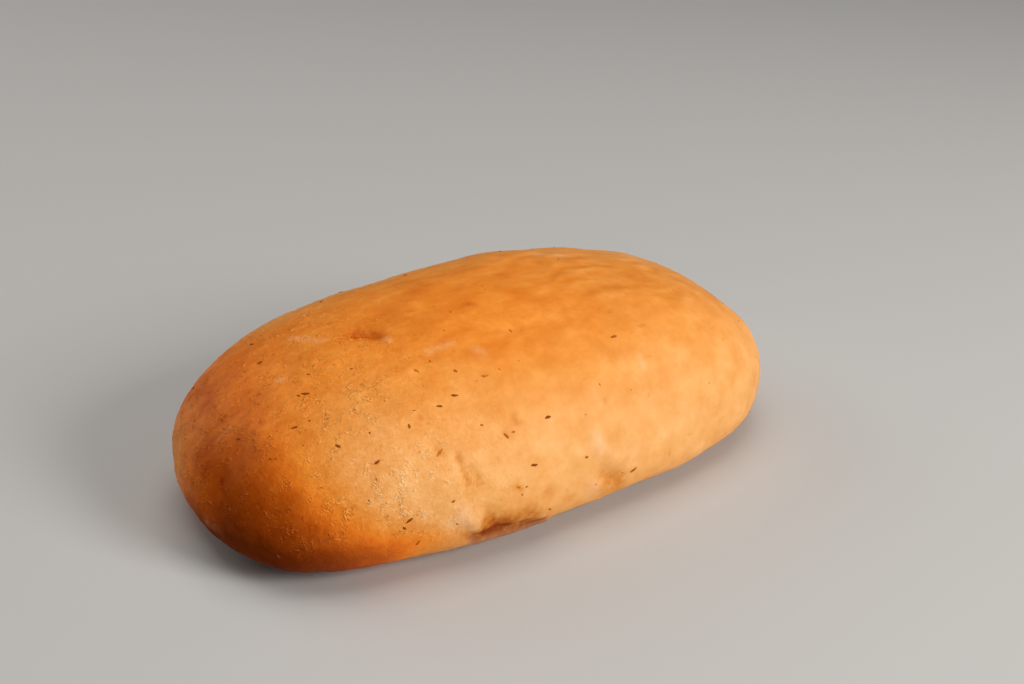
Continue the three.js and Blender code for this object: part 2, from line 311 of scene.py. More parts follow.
class Net:
    """Adds nodes to a tree. Inputs are plain values, sockets, or other expressions."""

    NUMBERS = ("DOT_PRODUCT", "DISTANCE")

    def __init__(self, tree):
        self.tree = tree

    def node(self, kind, inputs=None, **settings):
        made = self.tree.nodes.new(kind)
        for name, value in settings.items():
            setattr(made, name, value)
        for key, value in (inputs or {}).items():
            self.feed(made.inputs[key], value)
        return made

    def feed(self, socket, value):
        if isinstance(value, (Value, Arrow)):
            value = value.socket
        if isinstance(value, bpy.types.NodeSocket):
            self.tree.links.new(value, socket)
        else:
            socket.default_value = value

    def math(self, operation, *values):
        made = self.node("ShaderNodeMath", dict(enumerate(values)), operation=operation)
        return Value(self, made.outputs[0])

    def vector(self, operation, *values, **named):
        inputs = {**dict(enumerate(values)), **named}
        made = self.node("ShaderNodeVectorMath", inputs, operation=operation)
        if operation in self.NUMBERS:
            return Value(self, made.outputs["Value"])
        return Arrow(self, made.outputs["Vector"])

    def arrow(self, x, y, z):
        return Arrow(self, self.node("ShaderNodeCombineXYZ", {0: x, 1: y, 2: z}).outputs[0])

    def limit(self, value, low, high):
        return self.math("MAXIMUM", self.math("MINIMUM", value, high), low)

    def step(self, value, low, high):
        """0 where the value is below low and 1 above high, with a soft step from one to the other."""
        made = self.node(
            "ShaderNodeMapRange", {"Value": value, "From Min": low, "From Max": high},
            interpolation_type="SMOOTHSTEP",
        )
        return Value(self, made.outputs[0])

    def between(self, share, first, second):
        """The first number where the share is 0, the second where it is 1."""
        return share * (second - first) + first

    def noise(self, place, size, detail=2.0, rough=0.5, shift=0.0):
        """Smooth noise with patches of a size, mostly between -1 and 1; each shift gives other noise."""
        if shift:
            place = place + (shift, 0.0, 0.0)
        made = self.node(
            "ShaderNodeTexNoise",
            {"Vector": place, "Scale": 1 / size, "Detail": detail, "Roughness": rough},
        )
        return (Value(self, made.outputs[0]) - 0.5) * 4

    def stray(self, place, size, reach):
        """The place, led astray by noise by up to about a reach."""
        made = self.node("ShaderNodeTexNoise", {"Vector": place, "Scale": 1 / size, "Detail": 2.0})
        return (Arrow(self, made.outputs["Color"]) - (0.5, 0.5, 0.5)) * (4 * reach) + place

    def bell(self, distance, width):
        """1 at no distance, falling off smoothly over a width."""
        share = distance / width
        return self.math("EXPONENT", share * share * -1)


class GeometryNet(Net):
    """A Geometry Nodes tree with named inputs for its sizes, and others given as (name, kind)."""

    def __init__(self, name, sizes, others=()):
        super().__init__(bpy.data.node_groups.new(name, "GeometryNodeTree"))
        self.tree.is_modifier = True
        face = self.tree.interface
        face.new_socket(name="Geometry", in_out="INPUT", socket_type="NodeSocketGeometry")
        for key, value in sizes.items():
            kind = "NodeSocketInt" if isinstance(value, int) else "NodeSocketFloat"
            face.new_socket(name=key, in_out="INPUT", socket_type=kind).default_value = value
        for key, kind in (*others, ("Material", "Material")):
            face.new_socket(name=key, in_out="INPUT", socket_type="NodeSocket" + kind)
        face.new_socket(name="Geometry", in_out="OUTPUT", socket_type="NodeSocketGeometry")
        self.entry = self.node("NodeGroupInput")
        self.size = {key: Value(self, self.entry.outputs[key]) for key in sizes}

    def place(self):
        return Arrow(self, self.node("GeometryNodeInputPosition").outputs[0])

    def normal(self):
        return Arrow(self, self.node("GeometryNodeInputNormal").outputs[0])

    def number(self, name):
        made = self.node("GeometryNodeInputNamedAttribute", {"Name": name}, data_type="FLOAT")
        return Value(self, made.outputs[0])

    def vectors(self, name):
        made = self.node("GeometryNodeInputNamedAttribute", {"Name": name}, data_type="FLOAT_VECTOR")
        return Arrow(self, made.outputs[0])

    def store(self, geometry, name, value):
        inputs = {"Geometry": geometry, "Name": name, "Value": value}
        kind = "FLOAT" if isinstance(value, Value) else "FLOAT_VECTOR"
        made = self.node("GeometryNodeStoreNamedAttribute", inputs, data_type=kind, domain="POINT")
        return made.outputs[0]

    def move(self, geometry, **moves):
        """Moves points: Position= puts them at a place, Offset= shifts them."""
        return self.node("GeometryNodeSetPosition", {"Geometry": geometry, **moves}).outputs[0]

    def object_mesh(self, name):
        made = self.node("GeometryNodeObjectInfo", {"Object": self.entry.outputs[name]})
        return made.outputs["Geometry"]

    def random(self, low, high, seed):
        made = self.node("FunctionNodeRandomValue", {"Seed": seed}, data_type="FLOAT")
        self.feed(made.inputs[2], low)
        self.feed(made.inputs[3], high)
        return Value(self, made.outputs[1])

    def instances(self, points, shape, turned, scale):
        """A shape on every point, turned and scaled, and made real."""
        inputs = {"Points": points, "Instance": shape, "Rotation": turned, "Scale": scale}
        made = self.node("GeometryNodeInstanceOnPoints", inputs)
        return self.node("GeometryNodeRealizeInstances", {0: made.outputs[0]}).outputs[0]

    def finish(self, geometry):
        """Ends the tree: instances made real, and the material set."""
        real = self.node("GeometryNodeRealizeInstances", {0: geometry}).outputs[0]
        smooth = self.node("GeometryNodeSetShadeSmooth", {0: real}).outputs[0]
        finish = {"Geometry": smooth, "Material": self.entry.outputs["Material"]}
        painted = self.node("GeometryNodeSetMaterial", finish)
        self.tree.links.new(painted.outputs[0], self.node("NodeGroupOutput").inputs[0])
        return self.tree


def grown(name, mesh, tree, **values):
    """A plain mesh piece: what a Geometry Nodes tree makes of a mesh, with its named inputs set."""
    seed = bpy.data.objects.new(name + "_seed", mesh)
    bpy.context.scene.collection.objects.link(seed)
    modifier = seed.modifiers.new(name, "NODES")
    modifier.node_group = tree
    inputs = [item for item in tree.interface.items_tree if item.in_out == "INPUT"]
    sockets = {item.name: item.identifier for item in inputs}
    for key, value in values.items():
        modifier[sockets[key]] = value
    depsgraph = bpy.context.evaluated_depsgraph_get()
    made = bpy.data.meshes.new_from_object(
        seed.evaluated_get(depsgraph), preserve_all_data_layers=True, depsgraph=depsgraph
    )
    seed.modifiers.remove(modifier)
    bpy.data.objects.remove(seed)
    made.name = name
    piece = bpy.data.objects.new(name, made)
    bpy.context.scene.collection.objects.link(piece)
    return piece


# ---------------------------------------------------------------------------------------------
# The crust.
# ---------------------------------------------------------------------------------------------


def heading(along, around):
    """The heading of an address: the way from the middle of a round ball to its place on it."""
    turn = math.radians(around)
    across = math.sqrt(1 - along * along)
    return (along, -across * math.sin(turn), across * math.cos(turn))


def point_mesh(name, points, edges=(), **attributes):
    """A mesh of bare points, with a list of numbers or of vectors for each named attribute."""
    mesh = bpy.data.meshes.new(name)
    mesh.from_pydata(points, edges, [])
    for key, values in attributes.items():
        if isinstance(values[0], tuple):
            parts = [part for value in values for part in value]
            mesh.attributes.new(key, "FLOAT_VECTOR", "POINT").data.foreach_set("vector", parts)
        else:
            mesh.attributes.new(key, "FLOAT", "POINT").data.foreach_set("value", values)
    return mesh


def mark_lines():
    """Each mark as an edge between two headings, with its width and what it does to the crust."""
    points = [heading(*end) for start, stop, *_ in MARKS for end in (start, stop)]
    edges = [(2 * i, 2 * i + 1) for i in range(len(MARKS))]
    widths = [width * MM for _, _, width, *_ in MARKS for _ in range(2)]
    effects = [(rise * MM, brown, pale) for *_, rise, brown, pale in MARKS for _ in range(2)]
    mesh = point_mesh("marks", points, edges, width=widths, effect=effects)
    lines = bpy.data.objects.new("mark_lines", mesh)
    bpy.context.scene.collection.objects.link(lines)
    return lines


def body_point(net, direction):
    """The point of the plain body that lies in a heading from its middle."""
    size = net.size
    x, y, z = direction.parts()
    power = size["Outline Power"]
    outline = (abs(x) ** power + abs(y) ** power) ** (1 / power)
    above = net.math("GREATER_THAN", z, 0)
    steep = size["Flank Power"] + above * (size["Crown Power"] - size["Flank Power"])
    reach = (outline ** steep + abs(z) ** steep) ** (-1 / steep)
    turn = net.math("ARCTAN2", y, x)
    lobes = size["Lobes Cosine"] * net.math("COSINE", turn * 3)
    lobes = lobes + size["Lobes Sine"] * net.math("SINE", turn * 3)
    slant = size["Skew"] * net.math("SINE", turn * 2)
    spread = outline * reach
    swell = (lobes + slant) * spread * spread + 1
    share = x * reach * swell
    across = size["Width"] / 2 * y * reach * swell
    crown = (size["Height"] - size["Shoulder Height"]) * (size["Rise"] * share + 1)
    base = size["Shoulder Height"] + size["Foot Sink"]
    drop = base + above * (crown - base)
    return net.arrow(
        size["Length"] / 2 * share,
        across * (size["Taper"] * share + 1) + size["Bow"] * (share * share - size["Bow Still"]),
        size["Shoulder Height"] + drop * z * reach,
    )


def sum_of_marks(net, geometry):
    """Goes over the marks and adds up what each does at every point, as the attribute marks."""
    placed = net.move(net.object_mesh("Marks"), Position=body_point(net, net.place()))
    count = net.node("GeometryNodeAttributeDomainSize", {0: placed}).outputs["Edge Count"]
    strayed = net.stray(net.place(), MARK_STRAY_SIZE, MARK_STRAY)
    geometry = net.store(geometry, "strayed", strayed)
    start = net.node("GeometryNodeRepeatInput")
    stop = net.node("GeometryNodeRepeatOutput")
    start.pair_with_output(stop)
    stop.repeat_items.new("INT", "Mark")
    net.feed(start.inputs["Iterations"], count)
    net.feed(start.inputs["Geometry"], geometry)
    mark = Value(net, start.outputs["Mark"])

    def of_line(value, index):
        inputs = {"Geometry": placed, "Value": value, "Index": index}
        kind = "FLOAT" if isinstance(value, Value) else "FLOAT_VECTOR"
        made = net.node("GeometryNodeSampleIndex", inputs, data_type=kind)
        return type(value)(net, made.outputs[0])

    begin = of_line(net.place(), mark * 2)
    run = of_line(net.place(), mark * 2 + 1) - begin
    width = of_line(net.number("width"), mark * 2)
    effect = of_line(net.vectors("effect"), mark * 2)
    here = net.vectors("strayed")
    share = net.limit((here - begin).dot(run) / run.dot(run), 0, 1)
    strength = net.bell(here.distance(begin + run * share), width)
    stored = net.store(start.outputs["Geometry"], "marks", net.vectors("marks") + effect * strength)
    net.feed(stop.inputs["Geometry"], stored)
    net.feed(stop.inputs["Mark"], mark + 1)
    return stop.outputs["Geometry"]


def lumps(net, place):
    """How far the lumps of the dough rise: a sum of waves whose headings spiral over a ball."""
    total = 0
    for wave in range(LUMP_WAVES):
        length = LUMP_LONGEST * (LUMP_SHORTEST / LUMP_LONGEST) ** (wave / (LUMP_WAVES - 1))
        climb = 1 - (2 * wave + 1) / LUMP_WAVES
        flat = math.sqrt(1 - climb * climb)
        turn = wave * GOLDEN_ANGLE
        run = Vector((flat * math.cos(turn), flat * math.sin(turn), climb))
        phase = place.dot(run * (2 * math.pi / length)) + wave * PHASE_STEP
        total = net.math("SINE", phase) * (LUMP_RISE * length / LUMP_LONGEST) + total
    return total


def around_angle(net, direction):
    """The second number of an address, from the heading."""
    _, side, up = direction.parts()
    return net.math("DEGREES", net.math("ARCTAN2", -side, up))


def wrinkles(net, direction, place):
    """Waves about the roll's length, from -1 to 1, broken up and faded out about their middle."""
    along = direction.parts()[0]
    around = around_angle(net, direction)
    x, y, _ = place.parts()
    sway = net.math("SINE", x * (2 * math.pi / WRINKLES["sway length"])) * WRINKLES["sway"]
    sway = sway + net.noise(place, WRINKLES["wander length"], 1) * WRINKLES["wander"]
    wave = net.math("SINE", (y - x * WRINKLES["slant"]) * (2 * math.pi / WRINKLES["spacing"]) + sway)
    lengthened = place.stretched((0.6, 1.0, 1.0))
    broken = net.step(net.noise(lengthened, WRINKLES["break length"], 1), -0.4, 0.9)
    fade = net.bell(along - WRINKLES["along"], WRINKLES["along reach"])
    fade = fade * net.bell(around - WRINKLES["around"], WRINKLES["around reach"])
    return wave * fade * broken


def crust_tree():
    """A cube of square faces blown out to the roll's body, with its relief raised along the normals."""
    rows = dict(zip(("Rows Along", "Rows Across", "Rows Up"), ROWS))
    sizes = {**SIZES, **rows, "Skin Rise": 1.0, "Skin Sink": SKIN_SINK, "Pit Depth": PIT_DEPTH}
    net = GeometryNet("Crust", sizes, [("Marks", "Object")])
    cube = net.node("GeometryNodeMeshCube", {"Size": (2.0, 2.0, 2.0)})
    for name, axis in zip(rows, "XYZ"):
        net.feed(cube.inputs["Vertices " + axis], net.size[name] + 1)
    evenly = [net.math("TANGENT", part * (math.pi / 4)) for part in net.place().parts()]
    headed = net.store(cube.outputs["Mesh"], "heading", net.arrow(*evenly).unit())
    direction = net.vectors("heading")
    body = net.move(headed, Position=body_point(net, direction))
    marked = sum_of_marks(net, body)

    place = net.place()
    wave = wrinkles(net, direction, place)
    waved = net.store(marked, "wrinkle", wave)
    relief = net.vectors("marks").parts()[0] + lumps(net, place)
    relief = relief + net.number("wrinkle") * WRINKLES["rise"]
    for patch, rise in SKIN:
        relief = relief + net.noise(place, patch) * net.size["Skin Rise"] * rise
    raised = net.move(waved, Offset=net.normal() * (relief - net.size["Skin Sink"]))

    x, y, z = place.parts()
    pits = net.step(net.noise(place, PIT_SIZE, 3), 0.2, 1.0) * net.size["Pit Depth"]
    resting = net.math("LESS_THAN", z, 0) * pits
    foot = net.move(raised, Position=net.arrow(x, y, net.math("MAXIMUM", z, resting)))
    span = net.node("GeometryNodeBoundBox", {0: foot})
    middle = (Arrow(net, span.outputs["Min"]) + Arrow(net, span.outputs["Max"])) * -0.5
    return net.finish(net.move(foot, Offset=middle.stretched((1.0, 1.0, 0.0))))


# ---------------------------------------------------------------------------------------------
# Herb flecks and blisters.
# ---------------------------------------------------------------------------------------------


def random_draw(seed):
    """A source of even random numbers, the same one as in the part's own program."""
    state = seed

    def draw(low, high):
        nonlocal state
        state = state * 48271 % 2147483647
        return low + (high - low) * (state / 2147483647)

    return draw


def spread_flecks():
    """The flecks on the back: random places that keep clear of every fleck before them."""
    draw = random_draw(SPREAD_SEED)
    rows = [row for rows in FRONT_FLECKS.values() for row in rows]
    taken = [heading(along, around) for along, around, *_ in rows]
    flecks = []
    while len(flecks) < SPREAD_COUNT:
        along, around = draw(*SPREAD_ALONG), draw(*SPREAD_AROUND)
        length, turn = draw(*SPREAD_LENGTH), draw(-90, 90)
        place = heading(along, around)
        if all(math.dist(place, other) > SPREAD_GAP for other in taken):
            taken.append(place)
            flecks.append((along, around, length, SPREAD_WIDTH, turn))
    return flecks


def fleck_points():
    """All the placed flecks as points at their headings, with their sizes, turns and tones."""
    flecks = [(*fleck, TONES[kind]) for kind, listed in FRONT_FLECKS.items() for fleck in listed]
    flecks += [(*speck, SPECK_TONE) for speck in SPECKS]
    flecks += [(*fleck, tone) for fleck, tone in zip(spread_flecks(), itertools.cycle(SPREAD_TONES))]
    return point_mesh(
        "flecks", [heading(along, around) for along, around, *_ in flecks],
        length=[length * MM for _, _, length, *_ in flecks],
        width=[width * MM for *_, width, _, _ in flecks],
        turn=[-math.radians(turn) for *_, turn, _ in flecks],
        tone=[tone for *_, tone in flecks],
    )


def on_crust(net, up, turn):
    """The rotation of a thing that lies on the crust, its length turned from the roll's length."""
    level = net.arrow(1.0, 0.0, 0.0) - up * up.parts()[0]
    turning = {"Vector": level, "Center": (0.0, 0.0, 0.0), "Axis": up, "Angle": turn}
    run = net.node("ShaderNodeVectorRotate", turning, rotation_type="AXIS_ANGLE").outputs[0]
    axes = {"Primary Axis": up, "Secondary Axis": run}
    made = net.node("FunctionNodeAxesToRotation", axes, primary_axis="Z", secondary_axis="X")
    return made.outputs[0]


def pebble(net):
    """A round pebble of 48 triangles, one metre in half size."""
    rows = {"Vertices " + axis: 3 for axis in "XYZ"}
    cube = net.node("GeometryNodeMeshCube", {"Size": (2.0, 2.0, 2.0), **rows})
    return net.move(cube.outputs["Mesh"], Position=net.place().unit())


def scattered(net, crust, density, seed):
    """Points all over the crust, so many on a square metre, which remember the normal as up."""
    inputs = {"Mesh": crust, "Seed": seed}
    made = net.node("GeometryNodeDistributePointsOnFaces", inputs, distribute_method="RANDOM")
    net.feed(made.inputs["Density"], density)
    return net.store(made.outputs["Points"], "up", Arrow(net, made.outputs["Normal"]))


def zone(net, direction, limits):
    """How far a heading is inside a zone of the crust, from 0 to 1."""
    along, side, up = direction.parts()
    numbers = {"blunt": -along, "side": side, "up": up}
    return math.prod(net.step(numbers[name], *ends) for name, ends in limits.items())


def crinkled(net, place, direction):
    """Where the crust is crinkled: clusters a few millimetres wide, most of them by the blunt end."""
    groups = net.step(net.noise(place, 9 * MM, 2), -0.9, 0.4)
    clusters = net.step(net.noise(place, 2.6 * MM, 2, shift=0.4), -0.15, 0.6)
    return zone(net, direction, CRINKLED_ZONE) * groups * clusters


def fleck_tree():
    """Torn bits of leaf half sunk in the crust, and a scatter of crumbs of it."""
    sizes = {
        "Thickness": 0.4 * MM, "Raggedness": 0.25 * MM,
        "Crumbs per Square Metre": 3000.0, "Crumb Size": 0.2 * MM,
    }
    net = GeometryNet("Herb Flecks", sizes, [("Crust", "Object")])
    size = net.size
    crust = net.object_mesh("Crust")
    known = net.store(net.store(crust, "place", net.place()), "facing", net.normal())
    ball = net.move(known, Position=net.vectors("heading"))

    def of_crust(name):
        inputs = {"Mesh": ball, "Value": net.vectors(name), "Sample Position": net.place()}
        made = net.node("GeometryNodeSampleNearestSurface", inputs, data_type="FLOAT_VECTOR")
        return Arrow(net, made.outputs[0])

    points = net.store(net.entry.outputs["Geometry"], "up", of_crust("facing").unit())
    points = net.move(points, Position=of_crust("place"))
    leaf = net.node("GeometryNodeMeshIcoSphere", {"Radius": 1.0, "Subdivisions": 3}).outputs["Mesh"]
    half = net.arrow(net.number("length") / 2, net.number("width") / 2, size["Thickness"] / 2)
    leaves = net.instances(points, leaf, on_crust(net, net.vectors("up"), net.number("turn")), half)

    above = net.step(net.place().parts()[2], *CRUMB_HEIGHTS)
    seeds = CRUMB_SEEDS
    spots = scattered(net, crust, size["Crumbs per Square Metre"] * above, seeds["place"])
    spots = net.store(spots, "tone", net.random(0.3, 1.0, seeds["tone"]))
    long = size["Crumb Size"] * net.random(0.8, 2.0, seeds["length"])
    wide = size["Crumb Size"] * net.random(0.5, 1.0, seeds["width"])
    shape = net.arrow(long, wide, size["Crumb Size"] * 0.5)
    turned = on_crust(net, net.vectors("up"), net.random(-1.6, 1.6, seeds["turn"]))
    crumbs = net.instances(spots, pebble(net), turned, shape)

    both = net.node("GeometryNodeJoinGeometry")
    for part in (crumbs, leaves):
        net.tree.links.new(part, both.inputs[0])
    x, y, z = net.stray(net.place(), 0.7 * MM, size["Raggedness"] / 2).parts()
    above_floor = net.arrow(x, y, net.math("MAXIMUM", z, 0))
    return net.finish(net.move(both.outputs[0], Position=above_floor))


def blister_tree():
    """Thin, pale flakes of skin that lift off the crust, thick in patches about the blunt end."""
    sizes = {
        "Flakes per Square Metre": 1200000.0, "Half Length": 0.36 * MM, "Half Width": 0.14 * MM,
        "Height": 0.14 * MM,
    }
    net = GeometryNet("Blisters", sizes, [("Crust", "Object")])
    size, seeds = net.size, BLISTER_SEEDS
    density = size["Flakes per Square Metre"] * crinkled(net, net.place(), net.vectors("heading"))
    spots = scattered(net, net.object_mesh("Crust"), density, seeds["place"])
    # Most flakes are small, and a few are large.
    large = net.random(0, 1, seeds["size"]) ** 5 * 1.4 + 0.6
    long = size["Half Length"] * large * net.random(0.8, 1.4, seeds["length"])
    wide = size["Half Width"] * large ** 0.6 * net.random(0.7, 1.3, seeds["width"])
    shape = net.arrow(long, wide, size["Height"] * net.random(0.6, 1.2, seeds["height"]))
    turned = on_crust(net, net.vectors("up"), net.random(-1.4, 0.1, seeds["turn"]))
    return net.finish(net.instances(spots, pebble(net), turned, shape))


# ---------------------------------------------------------------------------------------------
# Materials.
# ---------------------------------------------------------------------------------------------

# The colours of the crust as it bakes, from its pale sides to its deepest brown. The stages from 1.3 on
# are reached only where painted shade is added.
BAKE_STAGES = (
    (0.0, (0.88, 0.415, 0.128)),
    (0.5, (0.82, 0.286, 0.045)),
    (0.8, (0.83, 0.235, 0.021)),
    (1.0, (0.80, 0.185, 0.012)),
    (1.3, (0.54, 0.100, 0.005)),
    (1.6, (0.32, 0.050, 0.002)),
    (1.9, (0.18, 0.026, 0.001)),
)
DEEPEST_BAKE = BAKE_STAGES[-1][0]
# The bake of the crown on its blunt half and at its round end, where along the roll it changes from
# one to the other, and the tilts in degrees at which the crown's brown begins and is full.
CROWN_BAKE = (0.80, 0.53)
CROWN_CHANGE = (-0.15, 0.6)
CROWN_TILT = (72, 10)
# The bake of the blunt end and of its tip, where that end starts and is full, and how its edge
# leans with the height.
BLUNT_BAKE = (0.97, 1.05)
BLUNT_END = (0.42, 0.77)
BLUNT_LEAN = {"about": 0.14, "slope": 0.42, "most": 0.1}
# What some zones add to the bake: painted shade at the low end, along the low rim and at the back of
# the blunt end, and a painted sheen, which takes some off, at the tip's back. Only a share of the
# low end's shade is left at the very tip, and only a share of the low rim's towards the back.
LOW_END_SHADE_BAKE = 0.5
LOW_END_SHADE_TIP_SHARE = 0.3
LOW_RIM_SHADE_BAKE = 0.58
LOW_RIM_SHADE_BACK_SHARE = 0.4
BACK_END_SHADE_BAKE = 0.2
TIP_BACK_SHEEN_BAKE = -0.42
# Patches of the bake: their size, and how much they change it.
BAKE_PATCHES = ((22 * MM, 0.05), (6 * MM, 0.05))

# Dough that has stayed pale: raw and greyish low down, where its colour is darkened with painted
# shade, dry and bright higher up, the heights at which one turns to the other, and the band along
# the foot where it shows.
SHADED_RAW_DOUGH = (0.50, 0.235, 0.15)
PALE_CRUST = (0.92, 0.50, 0.23)
RAW_HEIGHTS = (7 * MM, 11 * MM)
PALE_BAND = (6 * MM, 0.5 * MM)
MOST_PALE = 0.9
# The two colours of the foot, the heights at which it begins and is full, and how much it covers.
FOOT_COLOURS = ((0.68, 0.33, 0.115), (0.56, 0.23, 0.06))
FOOT_EDGE = (1.3 * MM, 0.3 * MM)
FOOT_COVER = 0.85
# What is left of red, green and blue where the crust is toasted by a full step, the least and most
# that it is toasted, and the brightest that a colour may be.
TOAST = (0.60, 0.35, 0.11)
TOAST_LIMITS = (-0.28, 2)
BRIGHTEST = (0.94, 0.94, 0.94)
# The way that the fine cracks and flakes of the skin run.
SKIN_RUN = (0.72, -0.50, -0.48)
# The gloss of the crust, and how much of it the low end lacks where it is darkened with painted shade.
CRUST_GLOSS = 0.10
LOW_END_SHADE_GLOSS_LOSS = 0.09

# The colours of the herb, from the darkest tone to the lightest.
HERB_TONES = (
    (0.0, (0.27, 0.062, 0.002)),
    (0.5, (0.42, 0.115, 0.006)),
    (1.0, (0.60, 0.190, 0.015)),
)
FLOOR_COLOUR = (0.56, 0.54, 0.51)


def new_material(name):
    material = bpy.data.materials.new(name)
    material.use_nodes = True
    net = Net(material.node_tree)
    shader = material.node_tree.nodes["Principled BSDF"]
    place = Arrow(net, net.node("ShaderNodeTexCoord").outputs["Object"])
    return material, net, shader, place


def attribute(net, name):
    return Arrow(net, net.node("ShaderNodeAttribute", attribute_name=name).outputs["Vector"])


def ramp(net, value, stops):
    made = net.node("ShaderNodeValToRGB", {0: value})
    elements = made.color_ramp.elements
    while len(elements) < len(stops):
        elements.new(0.5)
    for element, (position, colour) in zip(elements, stops):
        element.position = position
        element.color = (*colour, 1)
    return made.outputs[0]


def mix(net, share, first, second):
    made = net.node("ShaderNodeMix", data_type="RGBA")
    net.feed(made.inputs[0], share)
    for socket, value in ((made.inputs[6], first), (made.inputs[7], second)):
        net.feed(socket, value if isinstance(value, bpy.types.NodeSocket) else (*value, 1))
    return made.outputs[2]


def crust_grain(net, place):
    """The grain of the crust, its strength, and the crinkles: pale curls up and dark cracks down."""
    direction = attribute(net, "heading")
    clusters = crinkled(net, place, direction)
    grainy = zone(net, direction, GRAINY_ZONE) * 0.6 + 0.12 + clusters * 0.4
    grain = net.noise(place, 0.65 * MM, 3, 0.65) * grainy
    squeeze = net.vector("SCALE", SKIN_RUN, Scale=place.dot(SKIN_RUN) * 0.4)
    drawn = net.stray(place, 2 * MM, 0.6 * MM) - squeeze
    curls = net.step(abs(net.noise(drawn, 0.9 * MM, 1)), 0.30, 0.05)
    cracks = net.step(net.noise(drawn, 0.7 * MM, 2, shift=0.5), 0.2, 0.8)
    return grain, grainy, (curls - cracks) * clusters


def crown_share(net, direction):
    """How near the crown a heading is, from 0 on the crust's sides to 1 on its ridge."""
    along, side, up = direction.parts()
    across = net.math("SQRT", 1 - along * along) + 0.01
    level = (up - side * (along * 0.2 + 0.15)) / across ** net.limit(0.75 - along * 2, 0.6, 1.0)
    tilt = net.math("DEGREES", net.math("ARCCOSINE", net.limit(level, -1, 1)))
    return net.step(tilt, *CROWN_TILT)


def blunt_share(net, direction):
    """How near the blunt end a heading is, from 0 to 1."""
    along, _, up = direction.parts()
    lean = (BLUNT_LEAN["about"] - up) * BLUNT_LEAN["slope"]
    return net.step(net.limit(lean, -BLUNT_LEAN["most"], BLUNT_LEAN["most"]) - along, *BLUNT_END)


def crust_bake(net, place, direction, crown, blunt):
    """How browned the crust is on the scale of the stages, with painted shade and painted sheen added in
    some zones.
    """
    low_end_shade = net.between(zone(net, direction, LOW_END_SHADE_TIP), 1, LOW_END_SHADE_TIP_SHARE)
    low_rim_shade = net.between(zone(net, direction, LOW_RIM_SHADE_FRONT), LOW_RIM_SHADE_BACK_SHARE, 1)
    bake = net.between(blunt, crown, net.between(zone(net, direction, BROWN_TIP), *BLUNT_BAKE))
    bake = bake + zone(net, direction, LOW_END_SHADE) * low_end_shade * LOW_END_SHADE_BAKE
    bake = bake + zone(net, direction, LOW_RIM_SHADE) * low_rim_shade * LOW_RIM_SHADE_BAKE
    bake = bake + zone(net, direction, BACK_END_SHADE) * BACK_END_SHADE_BAKE
    bake = bake + zone(net, direction, TIP_BACK_SHEEN) * TIP_BACK_SHEEN_BAKE
    for patch, depth in BAKE_PATCHES:
        bake = bake + net.noise(place, patch, 3) * depth
    return bake


def crust_toast(net, place, crown, blunt):
    """How much the skin is toasted past its bake: stains, streaks and grain, and on crinkles and
    wrinkles partly painted shade and light.
    """
    grain, grainy, crinkles = crust_grain(net, place)
    stains = net.step(net.noise(place, 2.8 * MM, 1, shift=0.3), 0.8, 1.2)
    streaks = net.noise(net.stray(place, 12 * MM, 2 * MM).stretched((0.4, 1.0, 1.0)), 4.5 * MM, 2)
    toast = net.noise(place, 6.5 * MM, 3, 0.6, shift=0.1) * (blunt * 0.12 + 0.17) + stains * 0.15
    toast = toast + net.noise(place, 1.5 * MM, 2, 0.6, shift=0.2) * grainy * 0.14
    # The crinkles' curls are painted paler and their cracks darker: partly their own tone, partly
    # painted highlight and shade.
    toast = toast - grain * 0.13 - crinkles * 0.5
    toast = toast + streaks * net.step(crown, 0.2, 0.8) * 0.15
    # The wrinkles' troughs are painted darker and their crests paler: painted shade and light across
    # them.
    return toast - attribute(net, "wrinkle").parts()[0] * 0.25


def crust_colour(net, place, lift=0):
    """The colour of the crust: golden on its sides, browner on the crown and about the blunt end."""
    direction = attribute(net, "heading")
    _, brown, pale = attribute(net, "marks").parts()
    height = place.parts()[2]

    far = net.step(direction.parts()[0], *CROWN_CHANGE)
    crown = crown_share(net, direction) * net.between(far, *CROWN_BAKE)
    blunt = blunt_share(net, direction)
    bake = crust_bake(net, place, direction, crown, blunt)
    stages = [(stage / DEEPEST_BAKE, colour) for stage, colour in BAKE_STAGES]
    colour = ramp(net, bake / DEEPEST_BAKE, stages)

    uneven = net.noise(place, 1.6 * MM, 4, 0.6) * 0.65 + 1
    band = net.step(height + net.noise(place, 5 * MM, 2) * 1.5 * MM, *PALE_BAND)
    unbaked = band * (1 - blunt * 0.75) * 0.55 + pale * uneven
    # A painted sheen pales the back of the blunt tip.
    unbaked = unbaked + zone(net, direction, TIP_BACK_SHEEN) * 0.15
    # Low down the dough is given its raw colour, darkened with painted shade.
    dough = mix(net, net.step(height, *RAW_HEIGHTS), SHADED_RAW_DOUGH, PALE_CRUST)
    colour = mix(net, net.limit(unbaked, 0, MOST_PALE), colour, dough)

    under = net.step(height + net.noise(place, 4 * MM, 3) * 0.3 * MM, *FOOT_EDGE)
    foot = mix(net, net.step(net.noise(place, 6 * MM, 5, 0.6), -0.9, 1.0), *FOOT_COLOURS)
    colour = mix(net, under * FOOT_COVER, colour, foot)

    toast = crust_toast(net, place, crown, blunt) + brown * uneven - lift
    toast = net.limit(toast, *TOAST_LIMITS)
    tint = net.arrow(*[net.math("POWER", part, toast) for part in TOAST])
    return net.vector("MINIMUM", Arrow(net, colour).stretched(tint), BRIGHTEST)


